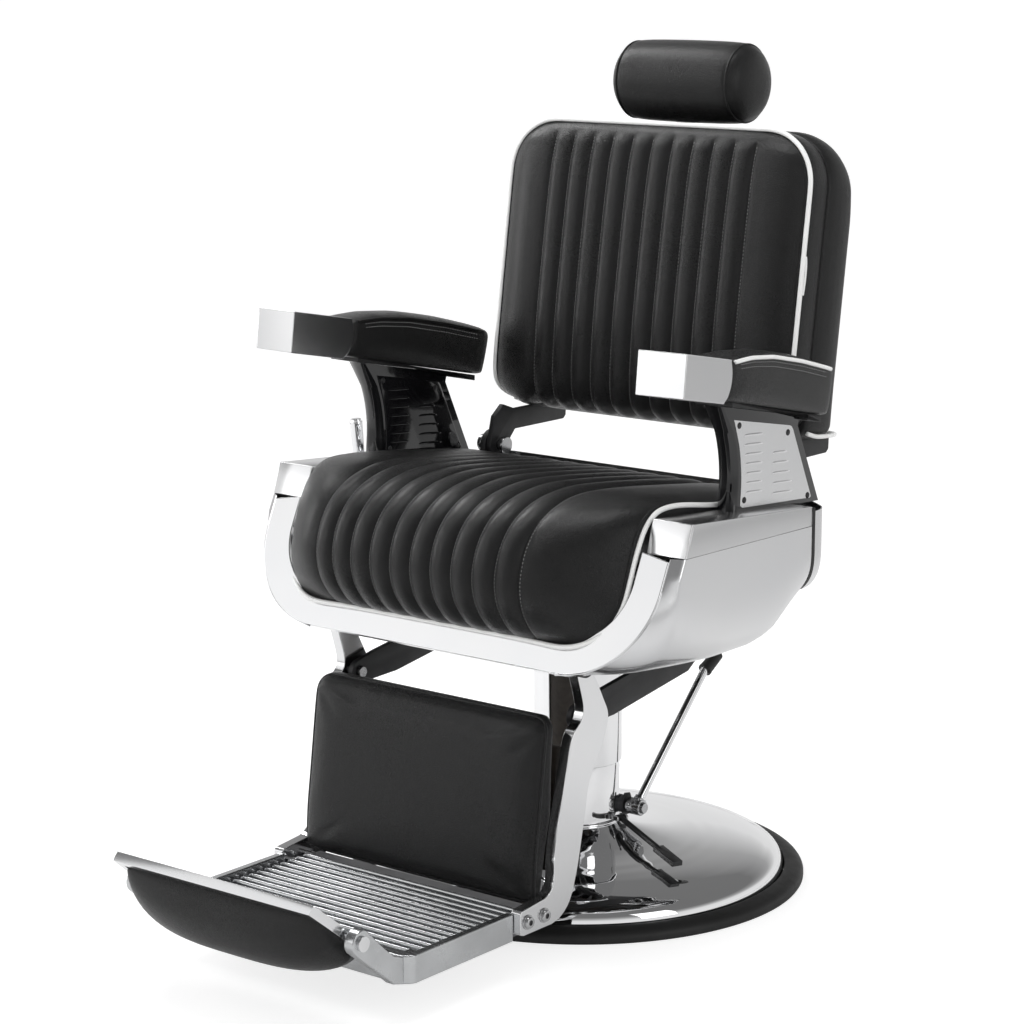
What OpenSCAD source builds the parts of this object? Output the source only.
// Hydraulic barber chair. Millimetres, +Z up, occupant faces -Y, so +X is the occupant's left.
// Origin: centre of the round base, on the floor.
// Name endings: _d diameter, _r radius, _h height, _t sheet thickness, _l length,
// _hw half width, _n count. A pivot or centre held as a pair is [Y, Z].

/* [Base] */
// Outside diameter of the rubber floor ring
base_d = 660; // [640:5:700]
// Height of the rubber floor ring
ring_h = 20; // [18:1:22]
// Sheet thickness of the domed base cover
cover_t = 1.6; // [1.2:0.1:2]

/* [Column] */
// Outside radius of the lower sleeve
sleeve_r = 61; // [59:0.5:61]
// Radius of the hydraulic piston rod
rod_r = 22; // [20:0.5:24]
// Bore radius of the pump cylinder
bore_r = 30; // [28:0.5:34]
// Radial running clearance of pins and slides
fit_c = 0.05; // [0.02:0.01:0.08]

/* [Seat] */
// Half width over the chrome side panels
body_hw = 362; // [358:1:372]
// Sheet thickness of side panels and rear cover
panel_t = 1.6; // [1.2:0.1:2]
// Gap between the seat cushion and the side bands
cushion_gap = 8; // [6:1:14]

/* [Backrest] */
// Half width of the backrest upholstery
back_hw = 265; // [255:1:272]
// Lean of the backrest at rest, degrees
back_lean = 8.4; // [8.2:0.1:8.6]
// Length of the headrest roll
roll_l = 230; // [200:5:260]
// Radius of the headrest roll
roll_r = 59; // [54:1:59]

/* [Leg rest] */
// Half width of the footplate
foot_hw = 209; // [206:1:212]
// Thickness of the two leg arms
arm_t = 16; // [14:1:16]
// Number of ribs on the footplate
rib_n = 14; // [8:1:16]

/* [Hidden] */
$fn = 64;

base_r = base_d/2;
bolt_circle_r = 74;
bolt_hole_r = 6.4;
upper_bore_r = 62.4;

// pivots, [Y, Z]; crank runs from a pivot to the pin it swings
back_pivot = [112, 590];
leg_pivot = [-284, 404];
crank = [24, -84];
back_pin = back_pivot + crank;
leg_pin = leg_pivot + crank;
pin_r = 8;
pin_fit_r = pin_r + fit_c;
bolt_fit_r = 8.02;
bolt_head_r = 13;
roll_center = [268, 1133];
stem_bar_r = 12;
flap_pivot = [-700, 126];
flap_pin_r = 6.5;
handle_pivot = [-43, 535];
strut_z = 494;

// hand levers
lever_pivot = [34, 102];
lever_x = 81;
lever_start = [lever_x, lever_pivot[0], lever_pivot[1]];
lock_pivot = [74, 6, 90.5];
lock_turn = -25.2;
lock_pin_r = 2.5;

// X stations of the seat body and armrests
band_in = body_hw - 62;
trim_hw = body_hw - 17;
seat_hw = band_in - cushion_gap;
post_in = body_hw - 65;
post_out = body_hw - 32;
cap_in = body_hw - 64;
cap_out = body_hw + 9;
// the armrests turn in towards the back by this many degrees
splay = 4.3;

steel = [0.82, 0.83, 0.85];
dark = [0.05, 0.05, 0.055];
hide = [0.09, 0.09, 0.1];
chrome = [0.9, 0.9, 0.92];

// ---------- helpers ----------
// points on an arc from angle a0 to a1
function arc(center, r, a0, a1, steps = 10) = [
  for (i = [0:steps])
    let(a = a0 + (a1 - a0)*i/steps)
    center + r*[cos(a), sin(a)]
];
// a half outline joined to its mirror image in X
function symmetric(half) =
  concat(half, [for (i = [len(half)-1:-1:0]) [-half[i][0], half[i][1]]]);

// a (Y, Z) outline drawn out along X
module extrude_x(x0, x1)
  translate([x0, 0, 0]) rotate([90, 0, 90]) linear_extrude(height = x1 - x0) children();
// an (X, Z) outline drawn out along Y
module extrude_y(y0, y1)
  translate([0, y1, 0]) rotate([90, 0, 0]) linear_extrude(height = y1 - y0) children();
// an (X, Y) outline drawn out along Z
module extrude_z(z0, z1)
  translate([0, 0, z0]) linear_extrude(height = z1 - z0) children();
// round bars along X, and along Z on the local axis
module bar_x(center, r, x0, x1)
  translate([x0, center[0], center[1]]) rotate([0, 90, 0]) cylinder(r = r, h = x1 - x0);
module bar_z(r, z0, z1)
  translate([0, 0, z0]) cylinder(r = r, h = z1 - z0);
// a round bar between two points
module bar_between(start, end, r1, r2) {
  run = end - start;
  length = norm(run);
  translate(start)
    rotate([0, acos(run[2]/length), atan2(run[1], run[0])])
    cylinder(r1 = r1, r2 = r2, h = length);
}
module block(corner, size)
  translate(corner) cube(size);
module flip_x()
  mirror([1, 0, 0]) children();
module both_sides() {
  children();
  flip_x() children();
}

// ---------- base ----------
module at_base_bolts()
  for (a = [45:90:315]) rotate(a) translate([bolt_circle_r, 0, 0]) children();

module base_ring() color(dark) rotate_extrude($fn = 120)
  polygon([[base_r-28, 0], [base_r-3, 0], [base_r, 3], [base_r, 9], [base_r-2, 13],
    [base_r-7, ring_h-3], [base_r-14, ring_h-0.6], [base_r-24, ring_h],
    [base_r-27, ring_h-1], [base_r-28, ring_h-3]]);

module base_plate() color("dimgray") difference() {
  union() {
    bar_z(base_r-31, 1, 6, $fn = 120);
    bar_z(95, 0, 11.9);
  }
  at_base_bolts() {
    bar_z(bolt_hole_r, -1, 19, $fn = 24);
    bar_z(11, -1, 4, $fn = 24);
  }
}

// outer face of the cover from rim to neck, [radius, Z]
dome_outer = [
  [base_r-29.4, 7], [base_r-29.4, 15], [base_r-30.4, 22], [base_r-33, 28.5], [base_r-38, 34],
  [base_r-46, 39], [base_r-60, 44.5], [base_r-80, 49], [225, 53], [200, 56], [175, 58.6],
  [150, 61], [130, 63.4], [110, 66.4], [97, 68.8], [85, 72], [76, 75], [68, 78.4],
  [upper_bore_r, 81.6]];

module base_cover() color(chrome) rotate_extrude($fn = 120)
  polygon(concat(
    dome_outer,
    [[upper_bore_r, 81.6-cover_t-0.6]],
    [for (i = [len(dome_outer)-2:-1:4]) dome_outer[i] - [0.3, cover_t]],
    [[base_r-35.5, 28], [base_r-32.3, 21], [base_r-31, 15], [base_r-31, 7]]));

module base_bolts() color(steel) at_base_bolts() {
  bar_z(10, 22.1, 30.1, $fn = 6);
  bar_z(6, 4.2, 22.2, $fn = 24);
}

// flanged cylinder with a side boss for the pump lever
module pump_cylinder() color("slategray") difference() {
  union() {
    rotate_extrude()
      polygon([[0, 12], [88, 12], [88, 22], [52, 22], [46, 27], [46, 332], [bore_r, 332],
        [bore_r, 24], [0, 24]]);
    difference() {
      bar_x(lever_pivot, 13, 20, 54);
      bar_z(45, 40, 190);
    }
  }
  at_base_bolts() cylinder(r = bolt_hole_r, h = 40, $fn = 24);
  bar_x(lever_pivot, pin_fit_r, 40, 60);
}

module pump_gland() color("goldenrod") rotate_extrude()
  polygon([[rod_r+fit_c, 316], [bore_r-fit_c, 316], [bore_r-fit_c, 332.2], [44, 332.2],
    [44, 338], [rod_r+fit_c, 338]]);

module lower_sleeve() color(chrome) difference() {
  bar_z(sleeve_r, 24, 348, $fn = 96);
  bar_z(sleeve_r-1.6, 20, 360, $fn = 96);
  bar_x(lever_pivot, 15, 20, 90);
}

module sleeve_collar() color(chrome) rotate_extrude($fn = 96)
  polygon([[sleeve_r+0.1, 82.2], [sleeve_r+3.4, 82.2], [sleeve_r+3.4, 84.6],
    [sleeve_r+2.2, 86], [sleeve_r+0.1, 86]]);

// frame of the lock lever: origin on its pin, x out along the lever
module at_lock()
  translate(lock_pivot) rotate([0, 0, lock_turn]) children();

// carries the pump lever, and the lock lever between two cheeks
module lever_bracket() color(dark) difference() {
  union() {
    block([44, 12, 88], [24, 38, 30]);
    extrude_x(64, 68)
      polygon([[16, 88], [50, 88], [50, 108], [44, 122], [24, 122], [16, 108]]);
    at_lock() for (side = [-1, 1]) block([-26, side*8.5-2.2, -4.4], [33, 4.4, 9]);
  }
  bar_z(sleeve_r+0.1, 60, 160, $fn = 96);
  bar_z(sleeve_r+4, 60, 87, $fn = 96);
  bar_x(lever_pivot, pin_fit_r, 40, 90);
  bar_x(lever_pivot, 13.3, 30, 54.4);
  at_lock() rotate([90, 0, 0]) cylinder(r = lock_pin_r+fit_c, h = 60, center = true);
}

// ---------- lifting ram ----------
module piston_rod() color(chrome) rotate_extrude()
  polygon([[0, 56.2], [rod_r, 56.2], [rod_r, 338.6], [33, 338.6], [33, 341.5],
    [rod_r, 341.5], [rod_r, 400], [0, 400]]);

module piston_head() color("dimgray") bar_z(bore_r-fit_c, 40, 56);

module swivel_washer() color("goldenrod") difference() {
  bar_z(36, 341.6, 344.8);
  bar_z(rod_r+0.1, 340, 350);
}

// ---------- seat structure ----------
module upper_sleeve() color(chrome) rotate_extrude($fn = 96)
  polygon([[upper_bore_r, 170], [64, 170], [64, 394], [72, 394], [72, 397.8],
    [upper_bore_r, 397.8]]);

module mount_plate() color("dimgray") difference() {
  union() {
    block([-120, -120, 398], [240, 240, 9.8]);
    bar_z(38, 345, 399);
  }
  bar_z(rod_r+fit_c, 340, 402);
}

// rails and side plates, tied by two cross tubes
module seat_frame() color(dark) {
  both_sides() {
    block([88, -210, 408], [34, 195, 32]);
    block([255, -215, 440], [8, 315, 90]);
    for (y = [-205, -60]) block([255, y, 505], [70, 30, 6]);
  }
  for (y = [-205, -60]) block([-257, y, 425], [514, 34, 34]);
}

module hinge_ears() color(dark) both_sides() difference() {
  extrude_x(246, 254.8) polygon(concat(
    [[40, 460], [96, 460], [161, 500], [161, 557], [134, 596]],
    arc(back_pivot, 22, 20, 170),
    [[81.5, 545], [40, 530]]));
  bar_x(back_pivot, bolt_fit_r, 240, 260);
}

module back_pivot_bolts() color(steel) both_sides() {
  bar_x(back_pivot, pin_r, 229, 262);
  bar_x(back_pivot, bolt_head_r, 221, 229);
  bar_x(back_pivot, bolt_head_r, 262, 269);
}

module leg_hangers() color(dark) both_sides() difference() {
  extrude_x(223, 231) polygon(concat(
    [[-206, 460], [-206, 428], [-236, 392]],
    arc(leg_pivot, 20, -60, -200, 12),
    [[-270, 436], [-240, 460]]));
  bar_x(leg_pivot, bolt_fit_r, 215, 240);
}

module leg_pivot_bolts() color(steel) both_sides() {
  bar_x(leg_pivot, pin_r, 200, 236);
  bar_x(leg_pivot, bolt_head_r, 196, 201.5);
  bar_x(leg_pivot, bolt_head_r, 233, 241);
}

module seat_board() color("burlywood") block([-278, -228, 531], [556, 266, 14]);

// frame of the slanted seat front: x across, y up the slope, z out of the front face
module slanted()
  translate([0, -262, 555]) rotate([65, 0, 0]) children();

// side outline cut to a U shape as seen square to the front face
module seat_cushion() color(hide) intersection() {
  extrude_x(-seat_hw, seat_hw) polygon([
    [77, 546.5], [79, 556], [79, 578], [40, 592], [-60, 606], [-150, 616], [-220, 622],
    [-275, 618], [-318, 604], [-350, 582], [-370, 552], [-379, 515], [-376, 478],
    [-364, 450], [-345, 436], [-318, 433], [-300, 440], [-262, 536], [-232, 546.5]]);
  slanted() extrude_z(-420, 200) polygon(symmetric(concat(
    [[seat_hw, 220]],
    arc([seat_hw-84, -43], 84, 0, -90, 8))));
}

module side_panel() {
  bend_r = 124;
  bend_center = [body_hw-bend_r, 518];
  // sheet that curves in under the seat
  intersection() {
    extrude_x(200, 380) polygon([
      [50, 550.6], [50, 476], [30, 461], [-20, 446], [-66, 434], [-120, 425],
      [-177, 417], [-240, 409], [-300, 400], [-329, 394], [-256.5, 550.6]]);
    extrude_y(-400, 60) polygon(concat(
      [[body_hw, 600]],
      arc(bend_center, bend_r, 0, -68, 14),
      arc(bend_center, bend_r-panel_t, -68, 0, 14),
      [[body_hw-panel_t, 600]]));
  }
  // front flange
  slanted() extrude_z(-4, -1) polygon(concat(
    [[body_hw-2, -6]],
    arc([body_hw-148, -43], 146, 0, -72, 12),
    arc([body_hw-147, -43], 130.8, -72, 0, 12),
    [[body_hw-16.2, -6]]));
}
module side_panel_l() color(chrome) side_panel();
module side_panel_r() color(chrome) flip_x() side_panel();

module side_bands() color(chrome) both_sides() difference() {
  extrude_x(band_in, body_hw)
    polygon([[-231.5, 598.6], [50, 578], [50, 551], [-245.6, 555]]);
  extrude_x(band_in+2.5, body_hw-2.5)
    polygon([[-231, 596], [60, 574.6], [60, 553.6], [-242, 557.6]]);
}

module band_caps() color(chrome) both_sides() extrude_x(band_in, body_hw)
  polygon([[-236, 599], [-231.7, 598.7], [-245.8, 555.1], [-250, 555.2]]);

// U-shaped band round the seat front, with a short round bar low on each side
module front_trim() color(chrome) {
  slanted() extrude_z(-16, 0) difference() {
    polygon(symmetric(concat([[trim_hw, -3]], arc([trim_hw-130, -43], 130, 0, -90, 14))));
    polygon(symmetric(concat([[band_in, 5]], arc([band_in-90, -38], 90, 0, -90, 12))));
  }
  both_sides() bar_x([-321, 402], 6, 226, 240);
}

// +X half of the rear cover in plan, set in from the outer face
function rear_half(inset) = concat(
  [[body_hw-inset, 58]],
  arc([body_hw-45, 62], 45-inset, 0, 52, 6),
  [[262-0.62*inset, 160-0.79*inset], [252-0.3*inset, 166-inset], [238, 168-inset]]);

// sheet tray with an inner shelf, cleared for the back brackets
module rear_cover() color(chrome) difference() {
  union() {
    difference() {
      extrude_z(481, 571) polygon(symmetric(rear_half(0)));
      extrude_z(483, 583)
        polygon(symmetric(concat([[body_hw-panel_t, 50]], rear_half(panel_t))));
    }
    extrude_z(539, 541.5) polygon(symmetric(rear_half(1)));
  }
  both_sides() block([230, 40, 500], [30, 123.5, 80]);
  block([-266, 40, 478], [532, 112, 8]);
}

module rear_gasket() color(dark) both_sides() block([body_hw-8, 50.6, 479], [8.8, 6.8, 97]);

// ---------- armrests ----------
arm_front_y = -264;
// centre of the curved joint between cap and pad, [Y, Z]
joint_center = [-194, 785.5];
// screws through the vent plates, [Y, Z]
vent_holes = [[-83, 704.7], [35, 679.7], [87, 584.7], [-69, 601.7]];

// turns an armrest about its outer front corner
module splayed()
  translate([cap_out, arm_front_y, 0])
    rotate([0, 0, splay])
    translate([-cap_out, -arm_front_y, 0])
    children();

// hollow post with a shallow vent pocket in each side face
module arm_post() difference() {
  extrude_x(post_in, post_out) polygon(concat(
    [[-95, 588.9]],
    arc([-265, 632.7], 173, -4, 22, 6),
    [[-123, 734.5], [65, 699], [61, 685.7], [117, 573], [57, 573], [53, 578.4]]));
  for (x = [post_in-1, post_out-1.8]) extrude_x(x, x+2.8) polygon([
    [-78.6, 594.2], [-76.6, 632.7], [-81.6, 672.7], [-95.6, 714.3], [41.2, 689.3],
    [48.5, 683], [96.6, 582.7], [93.2, 579.7], [-73.2, 591.1]]);
  extrude_x(post_in+6, post_out-6) polygon([
    [-71, 560], [-71, 632], [-77, 672], [-85, 704], [37, 679], [87, 583], [87, 560]]);
}
module arm_post_l() color(dark) arm_post();
module arm_post_r() color(dark) flip_x() arm_post();

module vent_plates() color(steel) both_sides()
  for (x = [post_in+0.1, post_out-1.7]) difference() {
    extrude_x(x, x+1.5) polygon([
      [-78, 594.7], [-76, 632.7], [-81, 672.7], [-95, 713.7], [41, 688.7],
      [48, 682.7], [96, 582.7], [93, 580.2], [-73, 591.7]]);
    for (hole = vent_holes) bar_x(hole, 2.1, x-1, x+3, $fn = 24);
  }

module vent_screws() color(dark) both_sides() for (hole = vent_holes) {
  bar_x(hole, 4.5, post_out-0.1, post_out+1.6, $fn = 24);
  bar_x(hole, 1.9, post_out-1.6, post_out, $fn = 24);
  bar_x(hole, 4.5, post_in-1.6, post_in+0.05, $fn = 24);
  bar_x(hole, 1.9, post_in, post_in+1.6, $fn = 24);
}

// hollow front ends of the armrests
module arm_caps() color(chrome) both_sides() splayed() difference() {
  extrude_x(cap_in, cap_out) polygon(concat(
    [[arm_front_y, 825], [-150, 804]],
    arc(joint_center, 46, 20, -42, 8),
    [[-170, 747.6], [-271, 767]]));
  extrude_x(cap_in+3, cap_out-3) polygon([
    [-259, 821], [-138, 798.5], [-138, 767.5], [-148, 757.5], [-178, 752], [-266, 769.8]]);
}

module arm_pad() splayed() extrude_x(cap_in+2, cap_out-2) polygon(concat(
  [[-145, 803.5], [-92, 804.4], [-36, 799.2], [43, 783.6], [99, 769.4], [136.7, 759.6],
    [121, 690.9], [-156.6, 750.7]],
  arc(joint_center, 48.5, -38, 18, 8)));
module arm_pad_l() color(hide) arm_pad();
module arm_pad_r() color(hide) flip_x() arm_pad();

module arm_boards() color(dark) both_sides() splayed() extrude_x(body_hw-56, body_hw+1)
  polygon([[-133, 738], [-133, 745], [112, 692.2], [112, 684], [72, 692.5], [72, 699.2]]);

// ---------- recline lock ----------
// a round bar along Y on the strut axis
module strut_bar(r, y0, y1)
  translate([0, y0, strut_z]) rotate([-90, 0, 0]) cylinder(r = r, h = y1 - y0);

module recline_cylinder() color("dimgray") {
  difference() {
    strut_bar(17, -150, 0);
    strut_bar(pin_fit_r, -120, 30);
  }
  block([-12, -170, 459.2], [24, 21, 46]);
}

// rod with a fork that stands round the cross shaft
module recline_rod() color(steel) difference() {
  union() {
    strut_bar(pin_r, -40, 120);
    block([-9, back_pin[0]-20, strut_z-8], [18, 40, 42]);
  }
  block([-20, back_pin[0]-10, strut_z], [40, 20, 60]);
}

// handle on the right side of the seat
module recline_handle() color(chrome) {
  bar_x(handle_pivot, 19, -body_hw-9, -body_hw-1);
  bar_x(handle_pivot, 15, -body_hw-24, -body_hw-9);
  translate([-body_hw-14, handle_pivot[0], handle_pivot[1]]) rotate([6.5, 0, 0]) {
    cylinder(r1 = 7.5, r2 = 9.5, h = 98);
    translate([0, 0, 96]) cylinder(r1 = 9.5, r2 = 7.5, h = 6);
  }
}

// ---------- backrest ----------
// frame of the leaning back: x across, -y forwards, z up the back
module leaning()
  translate([0, 132, 660]) rotate([-back_lean, 0, 0]) children();

// rounded front view of the back, drawn between two distances forwards
module back_outline(near, far, half_w, height)
  rotate([90, 0, 0]) extrude_z(near, far) polygon(symmetric(concat(
    arc([half_w-26, 26], 26, -90, 0, 6),
    arc([half_w-70, height-70], 70, 0, 90, 8))));

module back_cushion() color(hide) intersection() {
  extrude_x(-back_hw, back_hw) polygon([
    [178, 668], [150, 657], [130, 662], [116, 690], [118, 740], [130, 850], [152, 990],
    [166, 1050], [185, 1072], [205, 1077], [232, 1060], [226, 1020], [206, 860],
    [193, 760]]);
  leaning() back_outline(-70, 60, back_hw, 421);
}

module back_board() color("burlywood") leaning() intersection() {
  back_outline(-57, -47, back_hw-14, 385);
  block([-300, 0, 8], [600, 100, 400]);
}

// padded rear of the back, slotted for the brackets and the headrest socket
module back_shell() color(hide) difference() {
  intersection() {
    extrude_x(-back_hw, back_hw) polygon([
      [192, 650], [198, 643], [262, 638], [271, 650], [276, 796], [281, 960],
      [279, 1012], [270, 1038], [252, 1056], [247, 1020], [226, 872]]);
    leaning() back_outline(-170, -40, back_hw, 421);
  }
  both_sides() extrude_x(234.2, 244.8)
    polygon([[180, 600], [241, 600], [255, 775], [200, 775]]);
  leaning() block([-22, 50, 180], [44, 22.4, 260]);
}

module back_brackets() color(dark) both_sides() difference() {
  extrude_x(235.5, 243.5) polygon(concat(
    [[270, 609], [276, 614], [277, 634], [236, 636], [248, 768], [218, 768], [199, 640],
      [150, 640], [122, 650], [101, 634]],
    arc(back_pivot, 22, 160, 200, 4),
    arc(back_pin, 13, 190, 380, 10),
    arc(back_pivot, 24, -30, 10, 4),
    [[150, 609]]));
  bar_x(back_pivot, pin_fit_r, 230, 250);
}

module cross_shaft() color(steel) bar_x(back_pin, pin_r, -235.3, 235.3);

module headrest_socket() color(dark) leaning() translate([0, 0, 190]) difference() {
  block([-21, 57.4, 0], [42, 14.4, 205]);
  block([-17.1, 60.6, -1], [34.2, 9.1, 210]);
}

module headrest_stem() color(steel) {
  leaning() block([-17, 60.65, 240], [34, 9, 248]);
  bar_x(roll_center, stem_bar_r, -75, 75);
}

// slot in the underside of the roll for the flat stem
module roll_slot() extrude_x(-18.5, 18.5)
  polygon([roll_center + [12, 0], roll_center + [54, -160], roll_center + [-98, -139],
    roll_center - [14, 0]]);

module headrest_core() color(dark) difference() {
  bar_x(roll_center, 20, -90, 90);
  bar_x(roll_center, stem_bar_r+fit_c, -76, 76);
  roll_slot();
}

module headrest_pad() color(hide) difference() {
  end = roll_l/2;
  intersection() {
    bar_x(roll_center, roll_r, -end, end);
    // spindle that rounds the ends
    translate([0, roll_center[0], roll_center[1]]) rotate([0, 90, 0]) rotate_extrude()
      polygon([[0, -end], [roll_r-22, -end], [roll_r-6, -end+9], [roll_r+1, -end+24],
        [roll_r+1, end-24], [roll_r-6, end-9], [roll_r-22, end], [0, end]]);
  }
  bar_x(roll_center, 20.1, -91, 91);
  roll_slot();
}

// ---------- leg rest ----------
arm_in = 204;
foot_bolts = [[-397, 75], [-362, 75]];
// side outline of a leg arm, [Y, Z]
arm_outline = [
  [-264, 395], [-248, 370], [-234, 345], [-224, 326], [-224, 308], [-236, 278],
  [-251, 256], [-264, 235], [-272, 198], [-278, 170], [-290, 120], [-303, 85],
  [-313, 72], [-328, 62], [-345, 58], [-408, 58], [-412, 62], [-412, 92],
  [-356, 98], [-342, 112], [-340, 144], [-333, 184], [-324, 221], [-313, 266],
  [-304, 300], [-297, 311], [-280, 325], [-277, 340], [-290, 384]];

module leg_arm() difference() {
  union() {
    extrude_x(arm_in, arm_in+arm_t) polygon(arm_outline);
    bar_x(leg_pivot, 20, arm_in, arm_in+arm_t);
    bar_x(leg_pin, pin_r, 184, 205);
  }
  bar_x(leg_pivot, pin_fit_r, 200, 230);
  for (bolt = foot_bolts) bar_x(bolt, 5.2, 200, 230, $fn = 32);
}
module leg_arm_l() color(chrome) leg_arm();
module leg_arm_r() color(chrome) flip_x() leg_arm();

module calf_board() color("burlywood") extrude_x(-194, 194)
  polygon([[-322, 120], [-313, 120], [-292, 286], [-301, 286]]);

module calf_pad() color(hide) extrude_x(-202.5, 202.5) polygon([
  [-340, 88], [-362, 84.5], [-373, 96], [-371, 140], [-349, 310], [-343, 326],
  [-330, 333], [-318, 331], [-310, 320], [-322.6, 220], [-334, 128]]);

// ribbed tray with a rear tongue between the leg arms
module foot_tray() difference() {
  union() {
    difference() {
      extrude_z(50, 88)
        polygon(symmetric([[foot_hw, -412], [foot_hw, -612], [198, -625]]));
      block([-foot_hw+12, -607, 74], [2*foot_hw-24, 196, 30]);
      both_sides() block([203.5, -414, 40], [20, 60, 70]);
    }
    block([-203, -414, 50], [406, 74, 24]);
    for (i = [0:rib_n-1])
      block([-foot_hw+11, -600 + 221*i/(rib_n-1), 73], [2*foot_hw-22, 4.5, 7]);
  }
  both_sides() for (bolt = foot_bolts) bar_x(bolt, 4.2, 160, 230, $fn = 32);
}

module flap_lugs() both_sides() difference() {
  extrude_x(183, 199) polygon(concat(
    [[-596, 50], [-596, 84], [-628, 84]],
    arc(flap_pivot, 17, 50, 225, 10),
    [[-640, 52], [-620, 50]]));
  bar_x(flap_pivot, flap_pin_r+fit_c, 180, 203);
}

module footplate() color(steel) {
  foot_tray();
  flap_lugs();
}

module footplate_bolts() color(steel) both_sides() for (bolt = foot_bolts) {
  bar_x(bolt, 4.15, 190, 222, $fn = 32);
  bar_x(bolt, 8, 220.2, 226, $fn = 32);
}

// flap frame: x across, y towards the front edge, z out of the metal face
module flapped()
  translate([0, flap_pivot[0], flap_pivot[1]])
    rotate([-39.5, 0, 0])
    rotate([0, 0, 180])
    children();

module flap_slab(inset, z0, z1) extrude_z(z0, z1) polygon(symmetric([
  [150-inset, -77+inset], [178-inset, -30], [178-inset, 20], [171-inset, 81-inset]]));

// shallow metal tray with a hinge pin on each side
module flap_plate() color(chrome) {
  flapped() difference() {
    flap_slab(0, -4, 9);
    flap_slab(12, -5, 4);
  }
  both_sides() {
    bar_x(flap_pivot, flap_pin_r, 170, 200);
    bar_x(flap_pivot, 10, 199.2, 203);
  }
}

module flap_pad() color(hide) flapped() intersection() {
  extrude_x(-164, 164) polygon([
    [-64, 3.6], [-62, -16], [-50, -36], [-30, -52], [-5, -58], [20, -55], [44, -42],
    [61, -22], [66, 3.6]]);
  flap_slab(12.6, -80, 10);
}

// ---------- link ----------
// bars that tie the back's crank pin to the leg arms' crank pins
module link_bars() color(dark) both_sides() difference() {
  extrude_x(190, 198) polygon(concat(
    [[-20, 374], [-226, 344]],
    arc(leg_pin, 17, 110, 262, 8),
    [[-180, 306], [-6, 332], [16, 346]],
    arc(back_pin, 17, -35, 145, 10)));
  bar_x(back_pin, pin_fit_r, 180, 210);
  bar_x(leg_pin, 8.4, 180, 210);
}

// ---------- hand levers ----------
module pump_lever_arm() color(chrome) {
  bar_x(lever_pivot, pin_r, 41, 97);
  bar_x(lever_pivot, 12, 69, 92);
  bar_between(lever_start, [lever_x, 208, 276], 6.4, 6.4);
}

module pump_lever_grip() color(dark) difference() {
  bar_between([lever_x, 203.4, 271.4], [lever_x, 238, 290], 10.5, 9);
  bar_between(lever_start, [lever_x, 208.3, 276.3], 6.45, 6.45);
}

// pin, hub, and a rod with a flat tab that dips outwards
module lock_lever() color(dark) at_lock() {
  rotate([90, 0, 0]) cylinder(r = lock_pin_r, h = 22, center = true);
  rotate([90, 0, 0]) cylinder(r = 5, h = 12, center = true);
  rotate([0, 97, 0]) {
    cylinder(r = 4.2, h = 120);
    block([-3.5, -8, 112], [7, 16, 56]);
  }
}

base_ring();
base_plate();
base_cover();
base_bolts();
pump_cylinder();
pump_gland();
lower_sleeve();
sleeve_collar();
lever_bracket();
piston_rod();
piston_head();
swivel_washer();
upper_sleeve();
mount_plate();
seat_frame();
hinge_ears();
back_pivot_bolts();
leg_hangers();
leg_pivot_bolts();
seat_board();
seat_cushion();
side_panel_l();
side_panel_r();
side_bands();
band_caps();
front_trim();
rear_cover();
rear_gasket();
arm_post_l();
arm_post_r();
vent_plates();
vent_screws();
arm_caps();
arm_pad_l();
arm_pad_r();
arm_boards();
recline_cylinder();
recline_handle();
recline_rod();
back_brackets();
cross_shaft();
back_board();
back_cushion();
back_shell();
headrest_socket();
headrest_stem();
headrest_core();
headrest_pad();
leg_arm_l();
leg_arm_r();
calf_board();
calf_pad();
footplate();
footplate_bolts();
flap_plate();
flap_pad();
link_bars();
pump_lever_arm();
pump_lever_grip();
lock_lever();
